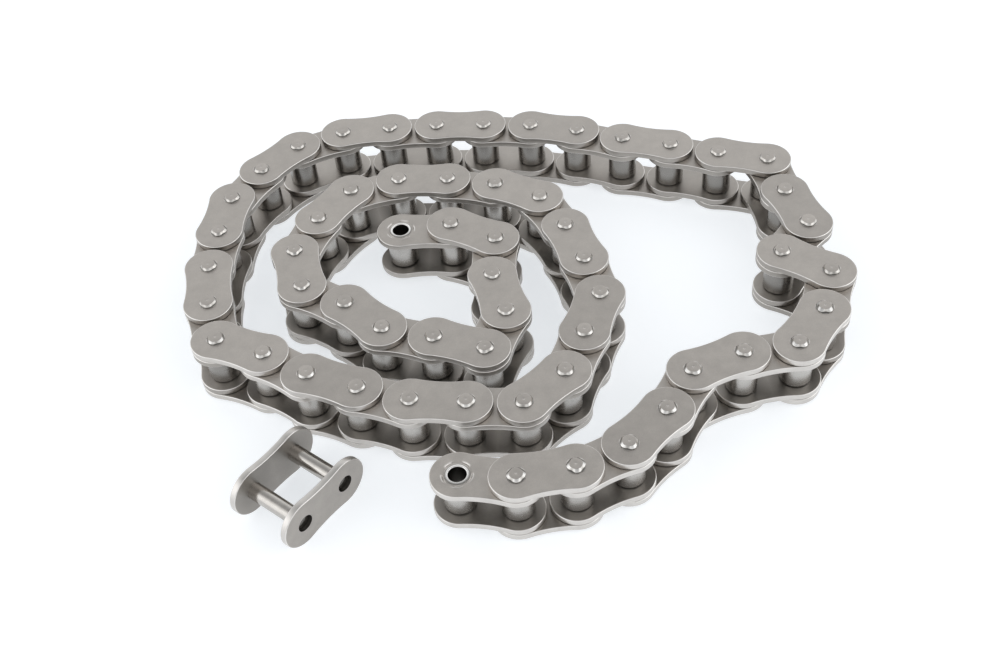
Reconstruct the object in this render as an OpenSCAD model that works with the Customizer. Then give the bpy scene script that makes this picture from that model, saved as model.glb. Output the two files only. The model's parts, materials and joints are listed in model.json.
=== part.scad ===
/* [Chain] */
// Distance from one pin centre to the next
pitch = 25.4; // [24:0.1:30]
// Clear width between the two plates of a roller link
inner_w = 16.2; // [10:0.1:22]

/* [Plates] */
// Thickness of every side plate
plate_t = 3.2; // [2:0.1:4.5]
// Gap between the round ends of two plates that follow each other in a straight run
end_gap = 1.4; // [1:0.1:3]
// Depth of the waist in each long edge of a plate
waist_depth = 1.1; // [0.8:0.1:4]

/* [Pins] */
// Diameter of the pins
pin_d = 7.92; // [6:0.02:9]
// How far a riveted pin end stands out of its plate
pin_proud = 1.5; // [0.8:0.1:2.5]
// How far a riveted pin end spreads beyond the pin all round
rivet_spread = 0.15; // [0.05:0.05:0.4]
// Bevel round a riveted pin end
rivet_bevel = 1; // [0.3:0.05:1.2]
// Chamfer on the free end of a connecting pin
pin_chamfer = 0.4; // [0.2:0.05:0.7]

/* [Bushes and rollers] */
// Wall of a bush
bush_wall = 1.55; // [1:0.05:2.2]
// How far a bush stands out of its plates at each end
bush_proud = 0.15; // [0.05:0.05:0.4]
// Chamfer at both mouths of a bush
bush_chamfer = 0.35; // [0.1:0.05:0.6]
// Wall of a roller
roller_wall = 1.6; // [1.2:0.05:2.4]
// Chamfer on the outer edges of a roller
roller_chamfer = 0.5; // [0.2:0.1:1]

/* [Clearances] */
// Radial gap between a pin and the bush that turns on it
pin_fit = 0.06; // [0.03:0.01:0.1]
// Radial gap between a bush and the roller that turns on it
roller_fit = 0.12; // [0.05:0.01:0.25]
// Gap between a roller's end and the plate beside it
roller_side = 0.15; // [0.1:0.05:0.4]
// Gap between a bush's end and the pin link's plate
link_side = 0.15; // [0.1:0.05:0.4]
// Gap kept where one piece is pressed into or riveted over another
press_gap = 0.03; // [0.02:0.01:0.05]
// Radial gap between the cover plate's holes and the pins they slip over
cover_fit = 0.1; // [0.05:0.01:0.2]

/* [Loose connecting link] */
// Direction that its plates point to on the floor, in degrees
loose_turn = 49; // [0:1:90]
// Its middle, to the right of the nearest front pin of the coil
loose_dx = -5.5; // [-20:0.5:10]
// Its middle, behind the nearest front pin of the coil
loose_dy = -48.5; // [-80:0.5:-47]
// How far its cover plate has been drawn out from its seat
cover_out = 3.9; // [1:0.1:5]
// How far the pin ends lie inside the drawn out cover plate
pin_recess = 1.8; // [0.2:0.1:2]
// Width of the groove for a spring clip near each pin end
clip_w = 1.3; // [0.8:0.1:1.8]
// Depth of the groove for a spring clip
clip_depth = 0.6; // [0.3:0.05:1]

/* [Hidden] */
$fn = 72;

// Direction of each link on the floor in degrees, from the outer end of the chain inwards,
// counted on through every full turn of the coil
front_tail = [-14, 5, 22, 42, 55, 18, 5, 51];
double_bend = [70, 142, 48, 104, 98];
back_run = [160, 157, 160, 156, 162, 170, 173, 177, 181];
left_turn = [198, 223, 236, 259, 263, 274, 283];
front_run = [333, 324, 334, 337, 350, 353];
right_turn = [399, 424, 427, 461, 465, 475];
second_back_run = [509, 523, 533, 552];
second_left_turn = [590, 604, 640];
second_front_run = [686, 673, 700, 696];
inner_end = [784, 821, 803, 868, 895];
heading = concat(front_tail, double_bend, back_run, left_turn, front_run, right_turn,
                 second_back_run, second_left_turn, second_front_run, inner_end);
links = len(heading);
// The loose connecting link lies nearest to the third pin of the front run
front_run_start = len(concat(front_tail, double_bend, back_run, left_turn));
loose_pin = front_run_start + 2;

// Plates: two round ends, and a waist between them drawn by two arcs. The arcs reach a little way
// into the ends, so that the outlines cross
plate_r = (pitch - end_gap) / 2;
waist_half = plate_r - waist_depth;
waist_reach = plate_r / 300;
reached_r = plate_r - waist_reach;
waist_r = ((pitch / 2) ^ 2 + waist_half ^ 2 - reached_r ^ 2) / (2 * (reached_r - waist_half));
waist_y = waist_half + waist_r;
web_half = plate_r * waist_y / (reached_r + waist_r);

// Radii from the pin outwards
pin_r = pin_d / 2;
rivet_r = pin_r + rivet_spread;
bush_bore_r = pin_r + pin_fit;
bush_r = bush_bore_r + bush_wall;
roller_bore_r = bush_r + roller_fit;
roller_r = roller_bore_r + roller_wall;

// Widths along the pins, measured from the middle of the chain
roller_w = inner_w - 2 * roller_side;
roller_plate_z = inner_w / 2;
bush_half = roller_plate_z + plate_t + bush_proud;
pin_plate_z = bush_half + link_side;
pin_half = pin_plate_z + plate_t + pin_proud;

// Connecting link: widths along its pins from the outer face of its fixed plate
seat_w = 2 * pin_plate_z;
cover_z = plate_t + seat_w + cover_out;
loose_w = cover_z + plate_t;
loose_pin_end = loose_w - pin_recess;
clip_z = plate_t + seat_w + plate_t + press_gap;

// Pin centres on the floor, one pitch apart, with the coil's middle at the origin
steps = [for (h = heading) pitch * [cos(h), sin(h)]];
function laid(i, at = [0, 0], done = 0) = done == i ? at : laid(i, at + steps[done], done + 1);
raw_pins = [for (i = [0 : links]) laid(i)];
raw_x = [for (p = raw_pins) p.x];
raw_y = [for (p = raw_pins) p.y];
middle = [min(raw_x) + max(raw_x), min(raw_y) + max(raw_y)] / 2;
pins = [for (p = raw_pins) p - middle];

plate_steel = "#9b9894";
pin_steel = "#b3b0ab";
bush_steel = "#a5a29d";
roller_steel = "#77746f";

function two_digits(n) = n < 10 ? str("0", n) : str(n);
function link_name(i) =
    i % 2 == 0 ? str("roller_link_", two_digits(i / 2 + 1)) : str("pin_link_", two_digits((i + 1) / 2));

// A link's two pins stand at x = 0 and x = pitch
module at_both_pins() {
    for (x = [0, pitch])
        translate([x, 0, 0])
            children();
}

// A waisted side plate from z = 0 up, with a hole at each pin
module plate(hole_r) {
    color(plate_steel)
        linear_extrude(plate_t)
            difference() {
                union() {
                    at_both_pins() circle(plate_r);
                    translate([0, -web_half]) square([pitch, 2 * web_half]);
                }
                for (side = [-1, 1])
                    translate([pitch / 2, side * waist_y]) circle(waist_r);
                at_both_pins() circle(hole_r);
            }
}

// Both plates of a link, with their inner faces at z = -inner_z and z = inner_z
module plate_pair(inner_z, hole_r) {
    translate([0, 0, inner_z]) plate(hole_r);
    translate([0, 0, -inner_z - plate_t]) plate(hole_r);
}

// A tube about the z axis with chamfered edges, outside and at the bore
module chamfered_tube(outer_r, bore_r, half_length, outer_chamfer, bore_chamfer) {
    rotate_extrude()
        polygon([
            [bore_r, bore_chamfer - half_length],
            [bore_r + bore_chamfer, -half_length],
            [outer_r - outer_chamfer, -half_length],
            [outer_r, outer_chamfer - half_length],
            [outer_r, half_length - outer_chamfer],
            [outer_r - outer_chamfer, half_length],
            [bore_r + bore_chamfer, half_length],
            [bore_r, half_length - bore_chamfer]
        ]);
}

module bush() {
    color(bush_steel)
        chamfered_tube(bush_r, bush_bore_r, bush_half, bush_proud / 2, bush_chamfer);
}

module roller() {
    color(roller_steel)
        chamfered_tube(roller_r, roller_bore_r, roller_w / 2, roller_chamfer, roller_chamfer / 2);
}

// A pin riveted over at both ends, with the spread rims just clear of the plates
module riveted_pin() {
    rim_z = pin_half - pin_proud + press_gap;
    color(pin_steel)
        rotate_extrude()
            polygon([
                [0, -pin_half],
                [rivet_r - rivet_bevel, -pin_half],
                [rivet_r, rivet_bevel - pin_half],
                [rivet_r, -rim_z],
                [pin_r, -rim_z],
                [pin_r, rim_z],
                [rivet_r, rim_z],
                [rivet_r, pin_half - rivet_bevel],
                [rivet_r - rivet_bevel, pin_half],
                [0, pin_half]
            ]);
}

// Roller link: two plates pressed on two bushes, with a roller turning on each bush
module roller_link() {
    plate_pair(roller_plate_z, bush_r + press_gap);
    at_both_pins() {
        bush();
        roller();
    }
}

// Pin link: two plates riveted on two pins
module pin_link() {
    plate_pair(pin_plate_z, pin_r + press_gap);
    at_both_pins() riveted_pin();
}

// A link of the chain where it lies, resting on its pin ends
module laid_link(i) {
    translate([pins[i].x, pins[i].y, pin_half])
        rotate(heading[i])
            if (i % 2 == 0) roller_link();
            else pin_link();
}

// The loose link stands on the edges of its plates, with its pins level
module stand_loose() {
    translate([pins[loose_pin].x + loose_dx, pins[loose_pin].y + loose_dy, plate_r])
        rotate([90, 0, loose_turn])
            translate([-pitch / 2, 0, -loose_w / 2])
                children();
}

// A connecting pin, riveted over behind the fixed plate and grooved for a spring clip
module connecting_pin() {
    groove_r = pin_r - clip_depth;
    color(pin_steel)
        rotate_extrude()
            polygon([
                [0, -pin_proud],
                [rivet_r - rivet_bevel, -pin_proud],
                [rivet_r, rivet_bevel - pin_proud],
                [rivet_r, -press_gap],
                [pin_r, -press_gap],
                [pin_r, clip_z],
                [groove_r, clip_z],
                [groove_r, clip_z + clip_w],
                [pin_r, clip_z + clip_w],
                [pin_r, loose_pin_end - pin_chamfer],
                [pin_r - pin_chamfer, loose_pin_end],
                [0, loose_pin_end]
            ]);
}

// Connecting link: a fixed plate with its two pins
module connecting_link() {
    stand_loose() {
        plate(pin_r + press_gap);
        at_both_pins() connecting_pin();
    }
}

// The cover plate that slips over the connecting pins
module cover_plate() {
    stand_loose()
        translate([0, 0, cover_z])
            plate(pin_r + cover_fit);
}

for (i = [0 : links - 1])
    laid_link(i);
connecting_link();
cover_plate();
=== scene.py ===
"""A roller chain laid in a coil, with a loose connecting link beside it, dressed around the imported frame.

Sizes in the classes are millimetres, as a chain maker writes them, and every mesh is made in metres.
"""

import json
import logging
from dataclasses import dataclass, field
from enum import IntEnum
from typing import NamedTuple

import bpy
import numpy as np
from mathutils import Euler, Matrix, Vector


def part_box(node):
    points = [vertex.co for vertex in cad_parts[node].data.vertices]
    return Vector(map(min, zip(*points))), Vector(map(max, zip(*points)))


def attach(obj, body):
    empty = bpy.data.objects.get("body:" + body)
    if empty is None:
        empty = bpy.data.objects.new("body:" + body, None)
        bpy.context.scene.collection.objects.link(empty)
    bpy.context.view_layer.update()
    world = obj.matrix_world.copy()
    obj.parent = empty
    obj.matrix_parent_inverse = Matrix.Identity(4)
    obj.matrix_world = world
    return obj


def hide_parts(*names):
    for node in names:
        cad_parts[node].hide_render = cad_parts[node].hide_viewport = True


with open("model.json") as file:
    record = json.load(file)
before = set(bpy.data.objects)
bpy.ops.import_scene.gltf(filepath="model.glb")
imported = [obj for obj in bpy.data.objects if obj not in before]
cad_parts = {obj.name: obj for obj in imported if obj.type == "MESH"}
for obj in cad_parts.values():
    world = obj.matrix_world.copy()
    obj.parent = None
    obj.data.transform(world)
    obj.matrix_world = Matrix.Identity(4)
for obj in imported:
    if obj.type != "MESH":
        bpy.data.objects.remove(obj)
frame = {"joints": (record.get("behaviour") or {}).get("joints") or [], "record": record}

LOG = logging.getLogger("chain")
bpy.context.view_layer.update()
MM = 0.001
SEED = 17
# Points closer than this are one point
WELD = 1e-4
# Edges that fold by more than this are drawn sharp
SHARP_EDGE = np.radians(38.0)
# Columns round everything that is turned about an axis
ROUND_COLUMNS = 60
# Sizes that several pieces share
PITCH = 25.4
BUSH_HOLE_R = 5.6
PIN_HOLE_R = 3.99
# The scale of wear and of painted light and shade: -1 is the darkest painted shade, 0 clean steel, 1 rubbed
# bright
PAINTED_SHADE, CLEAN, BRIGHT = -1.0, 0.0, 1.0

Colour = tuple[float, float, float]
Triple = tuple[float, float, float]
Span = tuple[float, float]
Socket = bpy.types.NodeSocket


class Steel(IntEnum):
    """The finishes of a link, in the order of its material slots."""

    PLATE = 0
    BUSH = 1
    ROLLER = 2
    PIN = 3


class NodeDraft:
    """The node tree of a material or a world while it is drawn up."""

    # How much of each finer layer of a noise shows
    NOISE_ROUGHNESS = 0.6
    # The Mix node's sockets for colours, which share their names with those for numbers
    MIX_SHARE, MIX_FIRST, MIX_SECOND, MIX_RESULT = 0, 6, 7, 2

    def __init__(self, tree: bpy.types.NodeTree) -> None:
        """Starts from an empty tree.

        Args:
            tree: The node tree of a material or a world.
        """
        tree.nodes.clear()
        self.tree = tree

    def add(self, kind: str, settings: dict[str, object] | None = None, **inputs: object) -> bpy.types.Node:
        """Adds a node, sets it up and joins its inputs.

        Args:
            kind: The node's type name.
            settings: Properties of the node by name.
            **inputs: Values or output sockets by input name, with _ for a space.

        Returns:
            The new node.
        """
        node = self.tree.nodes.new(kind)
        for name, value in (settings or {}).items():
            setattr(node, name, value)
        for name, value in inputs.items():
            self.join(node, name.replace("_", " "), value)
        return node

    def join(self, node: bpy.types.Node, name: str | int, value: object) -> None:
        """Links an output socket to a node's input, or sets the input's own value.

        Args:
            node: The node that takes it.
            name: The input's name or its number.
            value: A socket or a plain value.
        """
        socket = node.inputs[name]
        if isinstance(value, Socket):
            self.tree.links.new(value, socket)
        else:
            socket.default_value = value

    def attribute(self, name: str) -> Socket:
        """The number that a mesh's points carry under a name."""
        return self.add("ShaderNodeAttribute", {"attribute_name": name}).outputs["Fac"]

    def math(self, operation: str, first: object, second: object = 0.0) -> Socket:
        """One sum of two numbers.

        Args:
            operation: The Math node's operation.
            first: A socket or a number.
            second: A socket or a number.

        Returns:
            The result's socket.
        """
        node = self.add("ShaderNodeMath", {"operation": operation})
        self.join(node, 0, first)
        self.join(node, 1, second)
        return node.outputs[0]

    def ramp(self, value: Socket, span: Span, levels: Span) -> Socket:
        """Maps a span of a number onto a span of levels, held at both ends.

        Args:
            value: The number's socket.
            span: Where the span starts and ends.
            levels: The results there.

        Returns:
            The result's socket.
        """
        node = self.add("ShaderNodeMapRange", Value=value, From_Min=span[0], From_Max=span[1],
                        To_Min=levels[0], To_Max=levels[1])
        return node.outputs["Result"]

    def mix(self, share: Socket, first: object, second: object) -> Socket:
        """Mixes two colours.

        Args:
            share: How much of the second.
            first: A colour with its alpha, or a socket.
            second: A colour with its alpha, or a socket.

        Returns:
            The mixed colour's socket.
        """
        node = self.add("ShaderNodeMix", {"data_type": "RGBA"})
        self.join(node, self.MIX_SHARE, share)
        self.join(node, self.MIX_FIRST, first)
        self.join(node, self.MIX_SECOND, second)
        return node.outputs[self.MIX_RESULT]

    def noise(self, coordinates: Socket, size_mm: float, detail: float,
              stretch: Triple = (1.0, 1.0, 1.0)) -> Socket:
        """Clouds of about one size.

        Args:
            coordinates: The socket that places them.
            size_mm: Their size.
            detail: How many finer layers they have.
            stretch: How much finer they are along each axis.

        Returns:
            The socket of a number from 0 to 1.
        """
        scaled = self.add("ShaderNodeMapping", Vector=coordinates, Scale=stretch)
        node = self.add("ShaderNodeTexNoise", Vector=scaled.outputs[0], Scale=1.0 / (size_mm * MM),
                        Detail=detail, Roughness=self.NOISE_ROUGHNESS)
        return node.outputs[0]


# The colour of old oil, which the script uses to paint shade: in bores and holes, under rivet heads, on
# inner faces and on shaded walls and rollers
OIL_AND_PAINTED_SHADE = (0.143, 0.135, 0.124)


@dataclass(frozen=True)
class SteelFinish:
    """A bare satin steel: its colours, its gloss, and its clouds and its grain.

    Clouds and grain are numbers from 0 to 1, and a span is where one of them takes effect.
    """

    name: str
    dull: Colour
    clear: Colour
    # The colour of rubbed steel, also laid on as painted light on lit walls and as a painted highlight on
    # rivet bevels
    worn_and_lit: Colour
    gloss: Span
    worn_gloss: float
    cloud_mm: float = 7.0
    cloud_detail: float = 4.0
    cloud_span: Span = (0.3, 0.7)
    grain_mm: float = 0.35
    grain_detail: float = 2.0
    grain_stretch: Triple = (1.0, 1.0, 1.0)
    grain_depth_mm: float = 0.012
    grain_strength: float = 0.35
    speck_span: Span = (0.3, 0.75)
    speck_share: float = 0.2
    speck_level: float = 0.5
    satin_span: Span = (0.7, 1.3)
    rubbed_span: Span = (0.25, 0.6)
    rubbed_least: float = 0.75
    # How much one step of tone lightens it
    tone_step: float = 0.05
    # How far turning marks draw out its shine along their axis, which lies just off z
    turned: float = 0.0
    turning_axis: Triple = (0.01, 0.02, 1.0)

    def colour(self, draft: NodeDraft, clouds: Socket, grain: Socket, painted_light_and_wear: Socket,
               rubbed_and_painted_light: Socket) -> Socket:
        """Draws the colour up: clouds tint the steel, grain specks it, and over both lie the worn colour,
        for rubbed wear and painted light, and old oil's colour, for painted shade.

        Args:
            draft: The material's nodes.
            clouds: The clouds.
            grain: The grain.
            painted_light_and_wear: The wear with painted light and shade, from the darkest painted shade to
                bright.
            rubbed_and_painted_light: How much of the worn colour lies on it, for rubbed wear and painted
                light, from 0 to 1.

        Returns:
            The colour's socket.
        """
        tinted = draft.ramp(clouds, self.cloud_span, (0.0, 1.0))
        steel = draft.mix(tinted, (*self.dull, 1.0), (*self.clear, 1.0))
        specks = draft.ramp(grain, self.speck_span, (self.speck_share, 0.0))
        speckled = draft.mix(specks, steel, (*(self.speck_level * part for part in self.dull), 1.0))
        level = draft.math("ADD", draft.math("MULTIPLY", draft.attribute("tone"), self.tone_step), 1.0)
        toned = draft.add("ShaderNodeHueSaturation", Value=level, Color=speckled).outputs[0]
        # Below 0 old oil's colour paints shade; above 0 the worn colour lies on it for rubbed wear and
        # painted light
        shade_amount = draft.math("MAXIMUM", draft.math("MULTIPLY", painted_light_and_wear, -1.0), 0.0)
        return draft.mix(shade_amount, draft.mix(rubbed_and_painted_light, toned, (*self.worn_and_lit, 1.0)), (*OIL_AND_PAINTED_SHADE, 1.0))

    def material(self) -> bpy.types.Material:
        """Draws the finish up: clouds and grain break its gloss, and a turned one shines along its axis.

        Returns:
            The material.
        """
        made = bpy.data.materials.new(self.name)
        made.use_nodes = True
        draft = NodeDraft(made.node_tree)
        place = draft.add("ShaderNodeTexCoord").outputs["Object"]
        clouds = draft.noise(place, self.cloud_mm, self.cloud_detail)
        grain = draft.noise(place, self.grain_mm, self.grain_detail, self.grain_stretch)
        painted_light_and_wear = draft.attribute("painted_light_and_wear")
        patches = draft.ramp(clouds, self.rubbed_span, (self.rubbed_least, 1.0))
        rubbed_and_painted_light = draft.math("MULTIPLY", draft.math("MAXIMUM", painted_light_and_wear, 0.0), patches)
        satin = draft.ramp(draft.math("ADD", grain, clouds), self.satin_span, self.gloss)
        polish = draft.math("MULTIPLY", rubbed_and_painted_light, self.worn_gloss - self.gloss[0])
        bump = draft.add("ShaderNodeBump", Height=grain, Strength=self.grain_strength,
                         Distance=self.grain_depth_mm * MM)
        shader = draft.add("ShaderNodeBsdfPrincipled", Metallic=1.0, Anisotropic=self.turned,
                           Base_Color=self.colour(draft, clouds, grain, painted_light_and_wear, rubbed_and_painted_light),
                           Roughness=draft.math("ADD", satin, polish), Normal=bump.outputs[0])
        if self.turned:
            x, y, z = self.turning_axis
            draft.join(shader, "Tangent", draft.add("ShaderNodeCombineXYZ", X=x, Y=y, Z=z).outputs[0])
        draft.add("ShaderNodeOutputMaterial", Surface=shader.outputs[0])
        return made


FINISHES = {
    Steel.PLATE: SteelFinish(
        "tumbled_plate_steel", dull=(0.462, 0.431, 0.399), clear=(0.534, 0.499, 0.461),
        worn_and_lit=(0.80, 0.775, 0.745), gloss=(0.36, 0.46), worn_gloss=0.28, grain_mm=0.5),
    Steel.BUSH: SteelFinish(
        "pressed_bush_steel", dull=(0.44, 0.42, 0.395), clear=(0.50, 0.48, 0.45),
        worn_and_lit=(0.88, 0.865, 0.84), gloss=(0.28, 0.36), worn_gloss=0.18, grain_depth_mm=0.004),
    Steel.ROLLER: SteelFinish(
        "turned_roller_steel", dull=(0.52, 0.50, 0.474), clear=(0.60, 0.58, 0.552),
        worn_and_lit=(0.68, 0.66, 0.632), gloss=(0.22, 0.28), worn_gloss=0.26, grain_stretch=(0.1, 0.1, 1.2),
        grain_depth_mm=0.002, turned=0.85),
    Steel.PIN: SteelFinish(
        "ground_pin_steel", dull=(0.46, 0.435, 0.405), clear=(0.54, 0.515, 0.485),
        worn_and_lit=(0.62, 0.605, 0.585), gloss=(0.14, 0.19), worn_gloss=0.26, cloud_mm=4.0,
        grain_stretch=(1.0, 1.0, 0.2), grain_depth_mm=0.003),
}


def ring_faces(rows: int, columns: int, rows_closed: bool) -> np.ndarray:
    """Four-cornered faces of a grid whose columns close into a ring.

    Args:
        rows: Number of rows.
        columns: Number of columns in each ring.
        rows_closed: Whether the last row joins the first.

    Returns:
        Corner numbers, one face a row, wound so that column direction times row direction points out.
    """
    here = np.arange(rows * columns).reshape(rows, columns)
    beside = np.roll(here, -1, axis=1)
    above, above_beside = np.roll(here, -1, axis=0), np.roll(beside, -1, axis=0)
    faces = np.stack([here, beside, above_beside, above], axis=-1)
    return (faces if rows_closed else faces[:-1]).reshape(-1, 4)


@dataclass
class Shell:
    """A surface as whole arrays: points in millimetres, faces, and what each point and face carries."""

    points: np.ndarray
    faces: np.ndarray
    painted_light_and_wear: np.ndarray
    steel: np.ndarray
    tone: np.ndarray

    @classmethod
    def of(cls, points: np.ndarray, faces: np.ndarray, painted_light_and_wear: np.ndarray,
           steel: Steel | np.ndarray) -> "Shell":
        """A shell with points that coincide made one.

        Args:
            points: Its points.
            faces: Its faces.
            painted_light_and_wear: The wear and painted light and shade of each point, from -1, painted
                shade in old oil's colour, to 1, the brightest, for rubbed wear and painted highlights.
            steel: Its finish, or the finish of each face.

        Returns:
            The shell, with its seams and poles closed.
        """
        keys = np.round(points / WELD).astype(np.int64)
        _, first, joined = np.unique(keys, axis=0, return_index=True, return_inverse=True)
        return cls(points[first], joined.reshape(-1)[faces], painted_light_and_wear[first],
                   np.broadcast_to(steel, len(faces)), np.zeros(len(first)))

    @classmethod
    def together(cls, shells: list["Shell"]) -> "Shell":
        """Several shells as one.

        Args:
            shells: The shells, which stay apart in it.

        Returns:
            The joined shell.
        """
        starts = np.cumsum([0] + [len(shell.points) for shell in shells[:-1]])
        return cls(np.concatenate([shell.points for shell in shells]),
                   np.concatenate([shell.faces + start for shell, start in zip(shells, starts)]),
                   np.concatenate([shell.painted_light_and_wear for shell in shells]),
                   np.concatenate([shell.steel for shell in shells]),
                   np.concatenate([shell.tone for shell in shells]))

    def moved(self, turn: np.ndarray, shift: np.ndarray | list[float], tone: float = 0.0) -> "Shell":
        """The shell turned and then shifted.

        Args:
            turn: A rotation, three rows of three.
            shift: Where its origin goes.
            tone: Added to its lightness, in steps of its finish.

        Returns:
            The moved shell.
        """
        points = self.points @ turn.T + shift
        return Shell(points, self.faces, self.painted_light_and_wear, self.steel, self.tone + tone)

    def as_object(self, name: str, materials: list[bpy.types.Material]) -> bpy.types.Object:
        """Puts the arrays into a mesh, without faces that shrank to a line, and with met corners made one.

        Args:
            name: The piece's name.
            materials: Its finishes in the order of Steel.

        Returns:
            The new object, which sits at the origin.
        """
        corner = self.faces != np.roll(self.faces, -1, axis=1)
        whole = corner.sum(axis=1) >= 3
        corner, faces, steel = corner[whole], self.faces[whole], self.steel[whole]
        starts = np.concatenate([[0], np.cumsum(corner.sum(axis=1))[:-1]])
        mesh = bpy.data.meshes.new(name)
        mesh.vertices.add(len(self.points))
        mesh.vertices.foreach_set("co", (self.points * MM).astype(np.float32).ravel())
        mesh.loops.add(int(corner.sum()))
        mesh.loops.foreach_set("vertex_index", faces[corner].astype(np.int32))
        mesh.polygons.add(len(faces))
        mesh.polygons.foreach_set("loop_start", starts.astype(np.int32))
        mesh.polygons.foreach_set("material_index", steel.astype(np.int32))
        mesh.update(calc_edges=True)
        for title, values in (("painted_light_and_wear", self.painted_light_and_wear), ("tone", self.tone)):
            carried = mesh.attributes.new(title, "FLOAT", "POINT")
            carried.data.foreach_set("value", values.astype(np.float32))
        for material in materials:
            mesh.materials.append(material)
        mesh.validate()
        mesh.shade_smooth()
        mesh.set_sharp_from_angle(angle=SHARP_EDGE)
        made = bpy.data.objects.new(name, mesh)
        bpy.context.scene.collection.objects.link(made)
        return made


def eased(corners: list[Triple], closed: bool, steps: int = 4) -> np.ndarray:
    """A profile with eased corners: each is a parabola that leaves its straight sides at a set distance.

    Args:
        corners: Radius, height and easing distance of each corner.
        closed: Whether the profile runs back to its start.
        steps: Points on each eased corner.

    Returns:
        Radius and height of each point, with the share of the way round a corner from 0 to 1 and back to 0.
    """
    table = np.array(corners)
    at, ease = table[:, :2], table[:, 2:3]
    before, after = np.roll(at, 1, axis=0) - at, np.roll(at, -1, axis=0) - at
    before /= np.linalg.norm(before, axis=1, keepdims=True)
    after /= np.linalg.norm(after, axis=1, keepdims=True)
    if not closed:
        ease[[0, -1]] = 0.0
    t = np.linspace(0.0, 1.0, steps)[None, :, None]
    start, end = (at + before * ease)[:, None], (at + after * ease)[:, None]
    bend = (1 - t) ** 2 * start + 2 * t * (1 - t) * at[:, None] + t**2 * end
    turn = np.broadcast_to(4 * t * (1 - t), (len(at), steps, 1))
    profile = np.concatenate([bend, turn], axis=2).reshape(-1, 3)
    step = np.linalg.norm(np.diff(profile[:, :2], axis=0, prepend=np.inf), axis=1)
    return profile[step > WELD]


def round_angles() -> np.ndarray:
    """The angles of the columns of everything that is turned, as one row."""
    return np.linspace(0.0, 2 * np.pi, ROUND_COLUMNS, endpoint=False)[None, :]


def revolved(radius: np.ndarray, height: np.ndarray, painted_light_and_wear: np.ndarray, closed: bool,
             steel: Steel | np.ndarray) -> Shell:
    """A profile carried round the z axis: x is radius times cos a, y is radius times sin a, z is height.

    Args:
        radius: Radius of each profile point, a row each, with one column or one for each angle.
        height: Height of each, in the same form.
        painted_light_and_wear: Wear and painted light and shade of each, in the same form.
        closed: Whether the profile is a loop, as of a tube, or runs from axis to axis.
        steel: The finish, or the finish of each ring of faces.

    Returns:
        The closed shell.
    """
    angle, shape = round_angles(), (len(radius), ROUND_COLUMNS)
    x, y, z = radius * np.cos(angle), radius * np.sin(angle), np.broadcast_to(height, shape)
    faces = ring_faces(*shape, closed)
    rings = np.broadcast_to(steel, len(faces) // ROUND_COLUMNS)
    return Shell.of(np.stack([x, y, z], axis=-1).reshape(-1, 3), faces,
                    np.broadcast_to(painted_light_and_wear, shape).reshape(-1), np.repeat(rings, ROUND_COLUMNS))


class PlateRing(NamedTuple):
    """A ring of a plate's points, seen from above, with one height and one wear with painted light and
    shade, or those of each point.
    """

    at: np.ndarray
    height: float | np.ndarray
    wear_and_shading: float | np.ndarray


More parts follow.
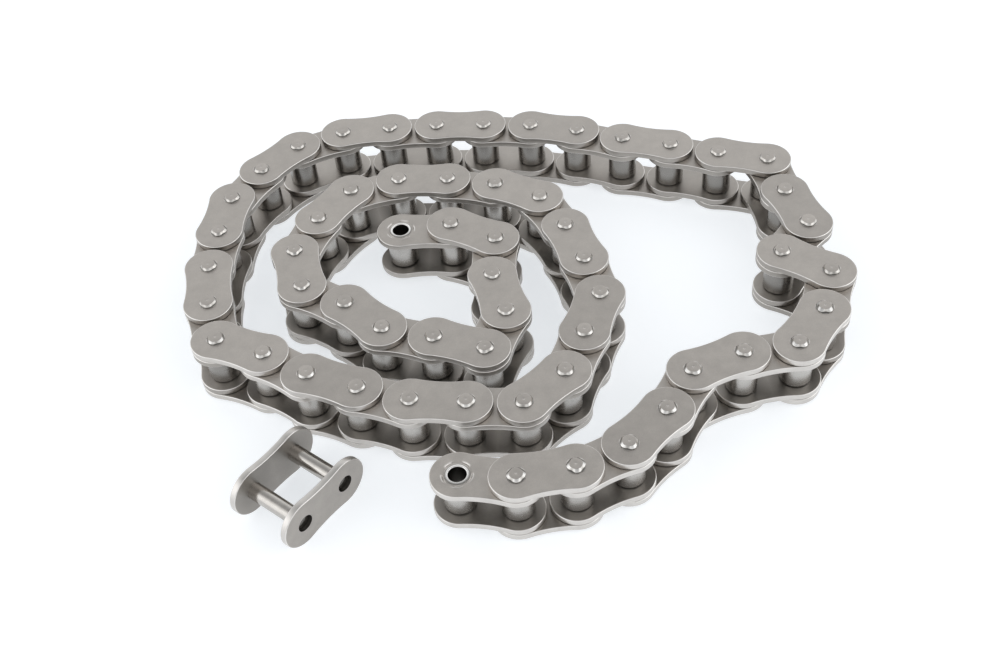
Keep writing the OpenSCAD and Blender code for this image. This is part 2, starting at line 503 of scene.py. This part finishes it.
@dataclass
class Plate:
    """A waisted side plate along x from the origin, with its inner face at z = 0 facing down."""

    hole_r: float
    staked: bool = False
    pitch: float = PITCH
    end_r: float = 12.0
    waist_depth: float = 1.1
    thickness: float = 3.2
    # The rounded rim, the eased mouth of a hole, and the ring beside either that keeps the face flat
    rim: float = 0.45
    hole_edge: float = 0.15
    support: float = 0.25
    # Painted shade in a hole where it is set, wear round its mouth, painted shade on the inner face, and
    # painted light and shade on the wall
    hole_shade: float = CLEAN
    mouth_wear: float = 0.3
    inner_shade: float = -0.9
    wall_light_and_shade: float = -0.3
    # Share of the inner face's painted shade that reaches its edge, and where on the rim's curve the wall
    # begins
    edge_share: float = 0.35
    wall_from_deg: float = 80.0
    # The punched groove round a bush, and how many widths beyond the burr and the groove its rings reach
    stake_r: float = 6.4
    stake_depth: float = 0.4
    stake_width: float = 0.3
    stake_reach: Span = (2.0, 1.5)
    stake_rings: int = 10
    # Its arcs: their number and turn, how much longer they are than their gaps and how abruptly they end
    stake_count: int = 5
    stake_turn: float = 0.6
    stake_share: float = 0.25
    stake_steepness: float = 1.6
    # The ridge that the punch raised outside the groove
    burr: float = 0.16
    burr_r: float = 6.95
    # Points along the round end, a waist and the mid-line, and on each curve of the rim
    end_columns: int = 44
    waist_columns: int = 8
    middle_columns: int = 8
    rim_steps: int = 5

    def __post_init__(self) -> None:
        """Works out the waist: its half height, and the arcs that touch the round ends from outside."""
        self.waist_half = self.end_r - self.waist_depth
        self.waist_r = ((self.pitch / 2) ** 2 + self.waist_half**2 - self.end_r**2) / (2 * self.waist_depth)

    def outline(self, inset: float) -> np.ndarray:
        """Half of the plate's outline, drawn in by an inset: a round end, two waist arcs and the mid-line.

        The end arc and the waist arcs keep their centres, and the inset is taken off the one radius and
        added to the other, so they stay tangent.

        Args:
            inset: How far inside the edge it runs.

        Returns:
            Points round the hole at the origin, counter-clockwise.
        """
        middle, waist_y = self.pitch / 2, self.waist_half + self.waist_r
        meet = np.arctan2(waist_y, middle)
        end = np.linspace(meet, 2 * np.pi - meet, self.end_columns)
        waist = np.linspace(np.pi - meet, np.pi / 2, self.waist_columns + 1)[1:]
        across = np.linspace(-1.0, 1.0, self.middle_columns + 2)[1:-1]
        arc = np.stack([np.cos(end), np.sin(end)], axis=1) * (self.end_r - inset)
        bow = np.stack([np.cos(waist), np.sin(waist)], axis=1) * (self.waist_r + inset)
        lower = bow + [middle, -waist_y]
        line = np.stack([np.full_like(across, middle), across * (self.waist_half - inset)], axis=1)
        return np.concatenate([arc, lower, line, lower[::-1] * [1, -1]])

    def rim_rings(self) -> list[PlateRing]:
        """Rings up the plate's edge: a quarter circle in inset and height at each face, brightest half way.

        Returns:
            The rings from the inner face to the outer.
        """
        quarter = np.linspace(0.0, np.pi / 2, self.rim_steps)
        inset, rise = self.rim * (1 - np.sin(quarter)), self.rim * (1 - np.cos(quarter))
        # Past the wall's start the rim takes the wall's painted light and shade instead of its rubbed shine
        rim_wear_and_wall_light = np.where(quarter > np.radians(self.wall_from_deg), self.wall_light_and_shade, np.sin(2 * quarter))
        inner = [PlateRing(self.outline(d), z, wear_and_shading) for d, z, wear_and_shading in zip(inset, rise, rim_wear_and_wall_light)]
        return inner + [PlateRing(ring.at, self.thickness - ring.height, ring.wear_and_shading) for ring in inner[::-1]]

    def punched_rings(self, spokes: np.ndarray) -> list[PlateRing]:
        """Rings on the outer face where a punch has pressed the plate against the bush, in broken arcs.

        The face falls by the stake depth times a bell across the groove and rises by the burr times a bell
        across the ridge outside it, both times a clipped wave that leaves arcs round the hole.

        Args:
            spokes: Unit vectors of the columns.

        Returns:
            The rings from the outside in.
        """
        angle = np.arctan2(spokes[:, 1], spokes[:, 0])
        wave = self.stake_share + np.cos(self.stake_count * angle + self.stake_turn)
        arcs = np.clip(self.stake_steepness * wave, 0.0, 1.0)
        outer = self.burr_r + self.stake_reach[0] * self.stake_width
        inner = self.stake_r - self.stake_reach[1] * self.stake_width
        rings = []
        for radius in np.linspace(outer, inner, self.stake_rings):
            groove = np.exp(-(((radius - self.stake_r) / self.stake_width) ** 2))
            ridge = np.exp(-(((radius - self.burr_r) / self.stake_width) ** 2))
            rise = self.burr * ridge - self.stake_depth * groove
            # The burr is lightened along its arcs: rubbed by the punch, with a painted highlight on it
            rings.append(PlateRing(spokes * radius, self.thickness + rise * arcs, ridge * arcs))
        return rings

    def shell(self) -> Shell:
        """The plate's section carried round one hole out to the half outline, and its mirror image.

        Each row of the grid is a ring: the inner face from the hole out, the rim, the outer face back in
        and the hole's wall. Where the rows between the faces cross the mid-line, the halves are left open.

        Returns:
            The closed shell.
        """
        edge = self.outline(0.0)
        spokes = edge / np.linalg.norm(edge, axis=1, keepdims=True)
        mouth, top = self.hole_r + self.hole_edge, self.thickness
        flat = self.outline(self.rim + self.support)
        beside_mouth = spokes * (mouth + self.support)
        # The inner face is painted shade, darkest beside the hole and fainter out at its edge
        rings = [PlateRing(spokes * mouth, 0.0, CLEAN), PlateRing(beside_mouth, 0.0, self.inner_shade)]
        first = len(rings)
        rings += [PlateRing(flat, 0.0, self.edge_share * self.inner_shade), *self.rim_rings()]
        last = len(rings)
        rings += [PlateRing(flat, top, CLEAN), *(self.punched_rings(spokes) if self.staked else [])]
        rings += [PlateRing(beside_mouth, top, CLEAN), PlateRing(spokes * mouth, top, self.mouth_wear),
                  PlateRing(spokes * self.hole_r, top - self.hole_edge, self.hole_shade),
                  PlateRing(spokes * self.hole_r, self.hole_edge, self.hole_shade)]
        shape = (len(rings), len(edge))
        height = np.stack([np.broadcast_to(ring.height, shape[1]) for ring in rings])[..., None]
        wear_and_shading = np.stack([np.broadcast_to(ring.wear_and_shading, shape[1]) for ring in rings]).reshape(-1)
        points = np.concatenate([np.stack([ring.at for ring in rings]), height], axis=2)
        open_side = np.zeros(shape, bool)
        start = self.end_columns + self.waist_columns - 1
        open_side[first:last, start:start + self.middle_columns + 1] = True
        half = ring_faces(*shape, True)[~open_side.reshape(-1)]
        other = points * [-1, 1, 1] + [self.pitch, 0, 0]
        return Shell.of(np.concatenate([points.reshape(-1, 3), other.reshape(-1, 3)]),
                        np.concatenate([half, half[:, ::-1] + wear_and_shading.size]), np.tile(wear_and_shading, 2), Steel.PLATE)


@dataclass
class Bush:
    """A tube pressed through both plates of a roller link, polished round its eased mouths."""

    bore_r: float = 4.02
    face_r: float = 4.55
    bright_r: float = 5.0
    outer_r: float = 5.57
    half_length: float = 11.45
    # How far the face falls from the mouth to the outer edge
    fall: float = 0.14
    # The eased mouth, and the share of it that is polished
    mouth: float = 0.5
    mouth_share: float = 0.7
    edge: float = 0.1
    bright_edge: float = 0.04
    face_wear: float = -0.3

    def shell(self) -> Shell:
        """The tube's section, a loop of eight eased corners, carried round its axis.

        Returns:
            The closed shell.
        """
        top = self.half_length
        low = top - self.fall
        slope = self.fall / (self.outer_r - self.face_r)
        bright_z = low + slope * (self.outer_r - self.bright_r)
        half = [(self.outer_r, low, self.edge), (self.bright_r, bright_z, self.bright_edge),
                (self.face_r, top, self.edge), (self.bore_r, top, self.mouth)]
        section = eased([(r, -z, ease) for r, z, ease in half[::-1]] + half, True)
        face = np.where(section[:, 0] < self.bright_r, BRIGHT, self.face_wear)
        # Inside the bore, past the polished share of the mouth, the steel is painted shade
        wear_and_shading = np.where(np.abs(section[:, 1]) > top - self.mouth_share * self.mouth, face, PAINTED_SHADE)
        return revolved(section[:, :1], section[:, 1:2], wear_and_shading[:, None], True, Steel.BUSH)


@dataclass
class Roller:
    """A hardened tube that turns on its bush, with eased outer edges."""

    bore_r: float = 5.69
    outer_r: float = 7.29
    half_length: float = 7.95
    edge: float = 0.7
    bore_edge: float = 0.2
    # Painted shade on the barrel, darker on the run that lies in shade, and on the eased ends under the
    # plates
    barrel_shade: float = CLEAN
    end_shade: float = -0.6

    def shell(self) -> Shell:
        """The tube's section, a loop of four eased corners, carried round its axis.

        Returns:
            The closed shell.
        """
        top = self.half_length
        section = eased([(self.bore_r, -top, self.bore_edge), (self.outer_r, -top, self.edge),
                         (self.outer_r, top, self.edge), (self.bore_r, top, self.bore_edge)], True)
        wear_and_shading = self.barrel_shade + (self.end_shade - self.barrel_shade) * section[:, 2:]
        return revolved(section[:, :1], section[:, 1:2], wear_and_shading, True, Steel.ROLLER)


class HeadRing(NamedTuple):
    """A ring of a riveted head: how far it is drawn in between the lobes, and its wear and its painted
    light and shade on and off them.
    """

    radius: float
    height: float
    pinch: float = 0.0
    lobe_wear_and_light: float = CLEAN
    pinch_wear_and_light: float = CLEAN


@dataclass
class RivetHead:
    """The end of a pin that a punch has spread over its plate into four bevelled lobes round a disc."""

    pin_r: float = 3.96
    spread_r: float = 4.11
    proud: float = 1.5
    gap: float = 0.03
    # Height of the upright side below the bevel
    side: float = 0.42
    # The disc inside the bevel, and how many bands of faces from its middle out are as dull as a plate
    disc_r: float = 3.15
    disc_ease: float = 0.15
    disc_pinch: float = 0.05
    disc_rings: int = 6
    # How far the bevel is drawn in between the lobes, and the shares of it low and high on the side
    drawn_in: float = 0.6
    drawn_shares: Span = (0.25, 0.85)
    # How far a tongue reaches out on the plate, and the height of its lip
    tongue: float = 0.35
    lip: float = 0.08
    # Where the bevel leaves the side, and how far an eased edge falls
    bevel_in: float = 0.06
    bevel_up: float = 0.05
    fall: float = 0.02
    # The centre dot, with its rim and floor as shares of its radius, and the wear from there to its middle
    dot_r: float = 0.4
    dot_depth: float = 0.12
    dot_shares: Span = (1.5, 0.6)
    dot_wear: Triple = (0.5, 0.2, 0.1)
    # Painted shade on the tongue, a painted glint on it below a pinch, painted shade in the corners and the
    # creases between lobes, and the bevel's rubbed shine with a painted highlight on it
    tongue_shade: float = -0.6
    tongue_glint: float = 0.8
    corner_shade: float = -0.8
    crease_shade: float = -0.3
    bevel_wear_and_highlight: float = BRIGHT
    bevel_edge_share: float = 0.3

    def rings(self, seat: float, strike: float) -> list[HeadRing]:
        """The head's rings from the plate up to its middle: tongue, side, bevel, disc and centre dot.

        Args:
            seat: Height of the plate's outer face.
            strike: How hard it was struck, which widens the bevel and deepens the pinches.

        Returns:
            The rings.
        """
        low, top, out, pinch = seat + self.gap, seat + self.proud, self.spread_r, self.drawn_in * strike
        disc, brow = out - (out - self.disc_r) * strike, low + self.side
        shade_amount, rubbed_and_painted_light, bevel_edge = self.tongue_shade, self.bevel_wear_and_highlight, self.bevel_edge_share * self.bevel_wear_and_highlight
        first_share, last_share = self.drawn_shares
        rim_share, floor_share = self.dot_shares
        dot_rim, dot_floor, dot_middle = self.dot_wear
        return [
            HeadRing(self.pin_r, low),
            # The tongue is painted shade with a painted glint below each pinch, the upright side is painted
            # shade for the dark line under the head, and the bevel carries a painted highlight
            HeadRing(out, low, -self.tongue, shade_amount, shade_amount),
            HeadRing(out, low + self.lip, -self.tongue, shade_amount, self.tongue_glint),
            HeadRing(out, low + 2 * self.lip, first_share * pinch, PAINTED_SHADE, self.corner_shade),
            HeadRing(out, brow - self.lip, last_share * pinch, PAINTED_SHADE, PAINTED_SHADE),
            HeadRing(out, brow, pinch, bevel_edge, self.corner_shade),
            HeadRing(out - self.bevel_in, brow + self.bevel_up, pinch, rubbed_and_painted_light, self.crease_shade),
            HeadRing(disc + self.lip, top - 3 * self.fall, 2 * self.disc_pinch, rubbed_and_painted_light),
            HeadRing(disc, top - self.fall, self.disc_pinch, bevel_edge),
            HeadRing(disc - self.disc_ease, top - self.fall / 2),
            HeadRing(disc / 2, top),
            HeadRing(rim_share * self.dot_r, top),
            HeadRing(self.dot_r, top - self.fall, 0.0, dot_rim, dot_rim),
            HeadRing(floor_share * self.dot_r, top - self.dot_depth, 0.0, dot_floor, dot_floor),
            HeadRing(0.0, top - self.dot_depth, 0.0, dot_middle, dot_middle),
        ]

    def rows(self, seat: float, turn: float,
             strike: float = 1.0) -> tuple[np.ndarray, np.ndarray, np.ndarray]:
        """The head's rings as rows of a grid round the pin.

        Between the lobes the punch has drawn the bevel in and squeezed a little tongue out on the plate: a
        row's radius is its own, less its pinch times the square of the sine of twice the angle. Its wear,
        with its painted light and shade, goes from the lobe's to the pinch's with the fourth power of that
        sine.

        Args:
            seat: Height of the plate's outer face.
            turn: Where round the pin the first lobe points, in radians.
            strike: How hard it was struck.

        Returns:
            Radius, height, and wear with painted light and shade, each with a row for a ring and a column
            for an angle.
        """
        own, height, pinch, lobe_wear_and_light, pinch_wear_and_light = np.array(self.rings(seat, strike)).T[..., None]
        drawn = np.sin(2 * (round_angles() - turn)) ** 2
        radius = own - pinch * drawn
        wear_and_shading = lobe_wear_and_light * (1 - drawn**2) + pinch_wear_and_light * drawn**2
        return radius, np.broadcast_to(height, radius.shape), wear_and_shading


@dataclass
class RivetedPin:
    """A pin riveted over at both ends."""

    head: RivetHead = field(default_factory=RivetHead)
    seat: float = 14.8

    def shell(self, turn: float, strike: float) -> Shell:
        """Both heads' rows and the shank between them, carried round the axis from pole to pole.

        Args:
            turn: Where the punch marks start, in radians.
            strike: How hard the heads were struck.

        Returns:
            The closed shell.
        """
        radius, height, wear_and_shading = self.head.rows(self.seat, turn, strike)
        rings = np.full(2 * len(radius) - 1, Steel.PIN)
        rings[:self.head.disc_rings] = rings[-self.head.disc_rings:] = Steel.PLATE
        return revolved(np.concatenate([radius[::-1], radius]), np.concatenate([-height[::-1], height]),
                        np.concatenate([wear_and_shading[::-1], wear_and_shading]), False, rings)


@dataclass
class ConnectingPin:
    """A ground pin riveted behind its fixed plate at z = 0, grooved for a spring clip near its free end."""

    head: RivetHead = field(default_factory=RivetHead)
    groove_z: float = 29.63
    groove_w: float = 1.3
    groove_depth: float = 0.6
    groove_edge: float = 0.1
    # How far below the groove the shank's profile starts
    groove_lead: float = 1.0
    end_z: float = 31.7
    end_edge: float = 0.4

    def shell(self, turn: float) -> Shell:
        """The head's rows turned down and the shank's profile, carried round the axis from pole to pole.

        Args:
            turn: Where the punch marks start, in radians.

        Returns:
            The closed shell.
        """
        radius, height, wear_and_shading = self.head.rows(0.0, turn)
        r, ease = self.head.pin_r, self.groove_edge
        low, start, end = r - self.groove_depth, self.groove_z, self.groove_z + self.groove_w
        shank = eased([(r, start - self.groove_lead, 0.0), (r, start, ease), (low, start, ease),
                       (low, end, ease), (r, end, ease), (r, self.end_z, self.end_edge),
                       (0.0, self.end_z, 0.0)], False)
        ones = np.ones((1, ROUND_COLUMNS))
        # Above the groove's start the shank is painted shade, down in the cover plate's hole
        shank_shade = np.where(shank[:, 1:2] > start, PAINTED_SHADE, CLEAN)
        return revolved(np.concatenate([radius[::-1], shank[:, :1] * ones]),
                        np.concatenate([-height[::-1], shank[:, 1:2] * ones]),
                        np.concatenate([wear_and_shading[::-1], shank_shade * ones]), False, Steel.PIN)


UPRIGHT = np.eye(3)
UPSIDE_DOWN = np.diag([1.0, -1.0, -1.0])


@dataclass
class ChainLink:
    """What every link of the chain shares: its pitch, where its plates lie and how its pieces vary."""

    pitch: float = PITCH
    draws: np.random.Generator = field(default_factory=lambda: np.random.default_rng(SEED))

    def tone(self) -> float:
        """How much lighter or darker one piece came out than the next."""
        return float(self.draws.uniform(-1.0, 1.0))

    def plates(self, shell: Shell, inner_z: float) -> list[Shell]:
        """A plate above and the same plate turned over below.

        Args:
            shell: The plate.
            inner_z: Height of its inner face from the middle of the chain.

        Returns:
            Both plates.
        """
        return [shell.moved(UPRIGHT, [0, 0, inner_z], self.tone()),
                shell.moved(UPSIDE_DOWN, [0, 0, -inner_z], self.tone())]


@dataclass
class RollerLink(ChainLink):
    """Two plates pressed on two bushes, with a roller turning on each bush."""

    plate: Plate = field(default_factory=lambda: Plate(hole_r=BUSH_HOLE_R, staked=True))
    bush: Bush = field(default_factory=Bush)
    roller: Roller = field(default_factory=Roller)
    plate_z: float = 8.1

    def __post_init__(self) -> None:
        """Works out the pieces that every roller link repeats."""
        self.plate_shell = self.plate.shell()
        self.bush_shell = self.bush.shell()
        self.roller_shell = self.roller.shell()

    def shell(self) -> Shell:
        """One roller link along x from the origin, about the middle of the chain.

        Returns:
            Its six pieces as one shell.
        """
        pieces = self.plates(self.plate_shell, self.plate_z)
        for x in (0.0, self.pitch):
            pieces.append(self.bush_shell.moved(UPRIGHT, [x, 0, 0], self.tone()))
            pieces.append(self.roller_shell.moved(UPRIGHT, [x, 0, 0], self.tone()))
        return Shell.together(pieces)


@dataclass
class PinLink(ChainLink):
    """Two plates riveted on two pins."""

    plate: Plate = field(default_factory=lambda: Plate(hole_r=PIN_HOLE_R))
    pin: RivetedPin = field(default_factory=RivetedPin)
    plate_z: float = 11.6
    # How much the punch marks vary in turn, in radians, and how hard a pin is struck at least and at most
    turn_spread: float = 0.12
    strikes: Span = (0.7, 1.15)

    def __post_init__(self) -> None:
        """Works out the plate that every pin link repeats."""
        self.plate_shell = self.plate.shell()

    def shell(self) -> Shell:
        """One pin link along x from the origin, about the middle of the chain.

        Returns:
            Its four pieces as one shell.
        """
        pieces = self.plates(self.plate_shell, self.plate_z)
        for x in (0.0, self.pitch):
            turn = float(self.draws.normal(0.0, self.turn_spread))
            strike = float(self.draws.uniform(*self.strikes))
            pieces.append(self.pin.shell(turn, strike).moved(UPRIGHT, [x, 0, 0], self.tone()))
        return Shell.together(pieces)


@dataclass(frozen=True)
class RunLightAndShade:
    """How a run of the laid chain is painted lighter or darker for how light falls where it lies: its walls
    carry painted light in the tail and painted shade on the back run, its inner faces and rollers painted
    shade, its bevels rubbed shine with a painted highlight; and how hard its pins were struck.
    """

    first_link: int
    walls: float
    inner_faces: float
    rollers: float
    bevels: float
    strikes: Span

    def links(self) -> tuple[RollerLink, PinLink]:
        """The two kinds of link as this run has them.

        Returns:
            A roller link and a pin link.
        """
        wear_and_shading = {"wall_light_and_shade": self.walls, "inner_shade": self.inner_faces}
        roller_plate = Plate(hole_r=BUSH_HOLE_R, staked=True, **wear_and_shading)
        pin_plate = Plate(hole_r=PIN_HOLE_R, **wear_and_shading)
        pin = RivetedPin(head=RivetHead(bevel_wear_and_highlight=self.bevels))
        return (RollerLink(plate=roller_plate, roller=Roller(barrel_shade=self.rollers)),
                PinLink(plate=pin_plate, pin=pin, strikes=self.strikes))


# The tail, then the double bend with the back run and the left turn, the front run, and the inner turns
# Each run's walls, inner faces, rollers and bevels carry painted light and shade for where it lies in the
# coil
RUNS = (
    RunLightAndShade(first_link=0, walls=0.55, inner_faces=-0.8, rollers=0.0, bevels=1.0, strikes=(1.05, 1.45)),
    RunLightAndShade(first_link=8, walls=-0.25, inner_faces=-0.15, rollers=-0.62, bevels=0.2, strikes=(0.75, 1.15)),
    RunLightAndShade(first_link=29, walls=0.35, inner_faces=-0.75, rollers=0.0, bevels=0.8, strikes=(0.75, 1.2)),
    RunLightAndShade(first_link=35, walls=0.1, inner_faces=-0.95, rollers=0.0, bevels=0.5, strikes=(0.75, 1.2)),
)


@dataclass
class LaidChain:
    """The chain where it lies, a link from each pin centre to the next."""

    materials: list[bpy.types.Material]

    def pin_centres(self) -> np.ndarray:
        """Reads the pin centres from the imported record: the end bores and the pin joints between them.

        Returns:
            One centre a row, from the outer end of the chain inwards, in millimetres.
        """
        bores = {mount["name"]: mount["pos_m"] for mount in frame["record"]["mounts"]}
        hinges = [joint for joint in frame["joints"] if "pin_joint" in joint["name"]]
        places = [joint["pos_m"] for joint in sorted(hinges, key=lambda joint: joint["name"])]
        return np.array([bores["outer_end_bore"], *places, bores["inner_end_bore"]]) / MM

    def build(self) -> None:
        """Makes each link, turns it along the chain and lets it stand for its node and ride on its body."""
        centres = self.pin_centres()
        starts = [run.first_link for run in RUNS]
        kinds = [run.links() for run in RUNS]
        for number, (start, end) in enumerate(zip(centres[:-1], centres[1:])):
            along = (end - start) / np.linalg.norm(end - start)
            turn = np.array([[along[0], -along[1], 0], [along[1], along[0], 0], [0, 0, 1]])
            even = number % 2 == 0
            node = f"roller_link_{number // 2 + 1:02d}" if even else f"pin_link_{number // 2 + 1:02d}"
            run = np.searchsorted(starts, number, side="right") - 1
            shell = kinds[run][number % 2].shell().moved(turn, start)
            piece = shell.as_object(f"{node}_steel", self.materials)
            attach(piece, node)
            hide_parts(node)
            LOG.info("%s: %d points", piece.name, len(shell.points))


@dataclass
class LooseLink:
    """The connecting link that stands on the edges of its plates, with its cover plate drawn partly off."""

    materials: list[bpy.types.Material]
    pitch: float = PITCH
    cover_z: float = 30.3
    cover_hole_r: float = 4.06
    hole_edge: float = 0.04
    # Painted light on its plates' walls, and painted shade on the fixed plate's inner face
    wall_light_and_shade: float = 0.6
    inner_shade: float = -0.4
    # Steps of tone by which its plates are darker than the chain's
    tone: float = -3.5
    # Where the punch marks of its pins start, in radians
    pin_turns: Span = (0.3, 0.5673)
    pin: ConnectingPin = field(default_factory=ConnectingPin)

    def __post_init__(self) -> None:
        """Makes the fixed plate tight on its pins, and the cover plate with room to slip over them."""
        self.plate = Plate(hole_r=PIN_HOLE_R, hole_edge=self.hole_edge, wall_light_and_shade=self.wall_light_and_shade,
                           inner_shade=self.inner_shade)
        # The cover plate's holes are painted shade
        self.cover = Plate(hole_r=self.cover_hole_r, hole_edge=self.hole_edge, wall_light_and_shade=self.wall_light_and_shade,
                           hole_shade=PAINTED_SHADE)

    def stand(self) -> tuple[np.ndarray, np.ndarray]:
        """Finds how the link stands from its cover plate's node and the joint that draws it off.

        Returns:
            Its rotation, and where its first pin meets the outer face of its fixed plate, in millimetres.
        """
        draw = next(joint for joint in frame["joints"] if joint["name"] == "cover_plate_draw")
        out = np.array(draw["axis"])
        up = np.array([0.0, 0.0, 1.0])
        along = np.cross(up, out)
        low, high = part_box("cover_plate")
        middle = (np.array(low) + np.array(high)) / 2 / MM
        origin = middle - along * self.pitch / 2 - out * (self.cover_z + self.cover.thickness / 2)
        return np.stack([along, up, out], axis=1), origin

    def build(self) -> None:
        """Makes the fixed plate with its pins and the cover plate, and lets them ride on their bodies."""
        turn, origin = self.stand()
        plate = self.plate.shell().moved(UPSIDE_DOWN, [0, 0, self.plate.thickness], self.tone)
        pins = [self.pin.shell(pin_turn).moved(UPRIGHT, [x, 0, 0])
                for x, pin_turn in zip((0.0, self.pitch), self.pin_turns)]
        fixed = Shell.together([plate, *pins]).moved(turn, origin)
        cover = self.cover.shell().moved(UPRIGHT, [0, 0, self.cover_z]).moved(turn, origin, self.tone)
        for node, shell in (("connecting_link", fixed), ("cover_plate", cover)):
            piece = shell.as_object(f"{node}_steel", self.materials)
            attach(piece, node)
            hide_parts(node)
            LOG.info("%s: %d points", piece.name, len(shell.points))


@dataclass(frozen=True)
class SoftBox:
    """A square lamp that faces the middle of the coil, in metres and watts."""

    name: str
    place: Triple
    power: float
    side: float = 0.7

    def hang(self) -> None:
        """Hangs the lamp with its back away from the origin."""
        data = bpy.data.lights.new(self.name, "AREA")
        data.shape = "RECTANGLE"
        data.size = data.size_y = self.side
        data.energy = self.power
        made = bpy.data.objects.new(self.name, data)
        made.location = self.place
        made.rotation_euler = Vector(self.place).to_track_quat("Z", "Y").to_euler()
        bpy.context.scene.collection.objects.link(made)


@dataclass
class Studio:
    """The pale floor, the soft light and the camera, in metres."""

    floor_half: float = 4.0
    floor_z: float = -0.0001
    floor_points: int = 9
    paper: Colour = (0.54, 0.54, 0.54)
    paper_glow: Colour = (0.92, 0.96, 1.0)
    paper_lift: float = 0.64
    # The room's light, in spans of a direction: y for front and away, x for sides, z for height and low
    room: Colour = (0.97, 0.985, 1.0)
    front_span: Span = (-0.5, 0.0)
    front_glow: float = 1.1
    side_span: Span = (0.45, 0.75)
    side_glow: float = 1.3
    height_span: Span = (0.45, 0.9)
    height_levels: Span = (1.35, 0.45)
    low_span: Span = (0.25, 0.5)
    low_shade: float = 0.7
    away_span: Span = (0.2, 0.7)
    soft_boxes: tuple[SoftBox, ...] = (
        SoftBox("left_soft_box", (-0.9, -0.35, 0.85), power=0.4),
        SoftBox("right_soft_box", (0.9, -0.35, 0.85), power=0.8),
    )
    sensor_mm: float = 36.0
    lens_mm: float = 47.69
    clip: Span = (0.01, 50.0)
    camera_place: Triple = (-0.009127, -0.455597, 0.472648)
    camera_turn_deg: Triple = (43.1915, 3.6179, -3.8455)

    def floor(self) -> None:
        """A flat grid, x and y each from one edge to the other, in the studio's paper."""
        span = np.linspace(-self.floor_half, self.floor_half, self.floor_points)
        x, y = np.meshgrid(span, span)
        points = np.stack([x, y, np.full_like(x, self.floor_z)], axis=-1).reshape(-1, 3)
        at = np.arange(x.size).reshape(x.shape)
        faces = np.stack([at[:-1, :-1], at[:-1, 1:], at[1:, 1:], at[1:, :-1]], axis=-1).reshape(-1, 4)
        mesh = bpy.data.meshes.new("studio_floor")
        mesh.from_pydata(points.tolist(), [], faces.tolist())
        mesh.materials.append(self.paper_material())
        made = bpy.data.objects.new("studio_floor", mesh)
        bpy.context.scene.collection.objects.link(made)

    def paper_material(self) -> bpy.types.Material:
        """Grey paper that keeps the object's shadow, lifted to white where the camera and the steel see it.

        Returns:
            The material.
        """
        material = bpy.data.materials.new("studio_paper")
        material.use_nodes = True
        draft = NodeDraft(material.node_tree)
        path = draft.add("ShaderNodeLightPath")
        seen = draft.math("ADD", path.outputs["Is Camera Ray"], path.outputs["Is Glossy Ray"])
        seen = draft.math("MINIMUM", draft.math("ADD", seen, path.outputs["Is Transmission Ray"]), 1.0)
        paper = draft.add("ShaderNodeBsdfDiffuse", Color=(*self.paper, 1.0))
        glow = draft.add("ShaderNodeEmission", Color=(*self.paper_glow, 1.0),
                         Strength=draft.math("MULTIPLY", seen, self.paper_lift))
        both = draft.add("ShaderNodeAddShader")
        draft.join(both, 0, paper.outputs[0])
        draft.join(both, 1, glow.outputs[0])
        draft.add("ShaderNodeOutputMaterial", Surface=both.outputs[0])
        return material

    def world(self) -> None:
        """A room that is bright round the horizon and greyer overhead.

        Its level is what the height gives, less a shade low down in front and behind, times the glow of the
        front and times the glow of the sides.
        """
        world = bpy.data.worlds.new("studio_room")
        world.use_nodes = True
        draft = NodeDraft(world.node_tree)
        facing = draft.add("ShaderNodeTexCoord").outputs["Generated"]
        way = draft.add("ShaderNodeSeparateXYZ", Vector=facing)
        x, y, z = (way.outputs[axis] for axis in "XYZ")
        front = draft.ramp(y, self.front_span, (self.front_glow, 1.0))
        sides = draft.ramp(draft.math("ABSOLUTE", x), self.side_span, (1.0, self.side_glow))
        height = draft.ramp(z, self.height_span, self.height_levels)
        away = draft.ramp(draft.math("ABSOLUTE", y), self.away_span, (0.0, self.low_shade))
        low = draft.math("MULTIPLY", away, draft.ramp(z, self.low_span, (1.0, 0.0)))
        glow = draft.math("MULTIPLY", front, sides)
        level = draft.math("MULTIPLY", glow, draft.math("SUBTRACT", height, low))
        room = draft.add("ShaderNodeBackground", Color=(*self.room, 1.0), Strength=level)
        draft.add("ShaderNodeOutputWorld", Surface=room.outputs[0])
        bpy.context.scene.world = world

    def camera(self) -> None:
        """The camera, as it was fitted to the places of the pin heads in the photograph."""
        data = bpy.data.cameras.new("view")
        data.sensor_width = self.sensor_mm
        data.lens = self.lens_mm
        data.clip_start, data.clip_end = self.clip
        turn = Euler([np.radians(angle) for angle in self.camera_turn_deg])
        made = bpy.data.objects.new("view", data)
        made.matrix_world = Matrix.Translation(self.camera_place) @ turn.to_matrix().to_4x4()
        bpy.context.scene.collection.objects.link(made)
        bpy.context.scene.camera = made

    def build(self) -> None:
        """Sets the stage."""
        bpy.context.scene.view_settings.view_transform = "Standard"
        self.floor()
        self.world()
        for soft_box in self.soft_boxes:
            soft_box.hang()
        self.camera()


def main() -> None:
    """Builds the studio, the chain and the loose link, in that order."""
    logging.basicConfig(level=logging.INFO, format="%(name)s %(message)s")
    Studio().build()
    materials = [FINISHES[steel].material() for steel in Steel]
    LaidChain(materials).build()
    LooseLink(materials).build()


if __name__ == "__main__":
    main()
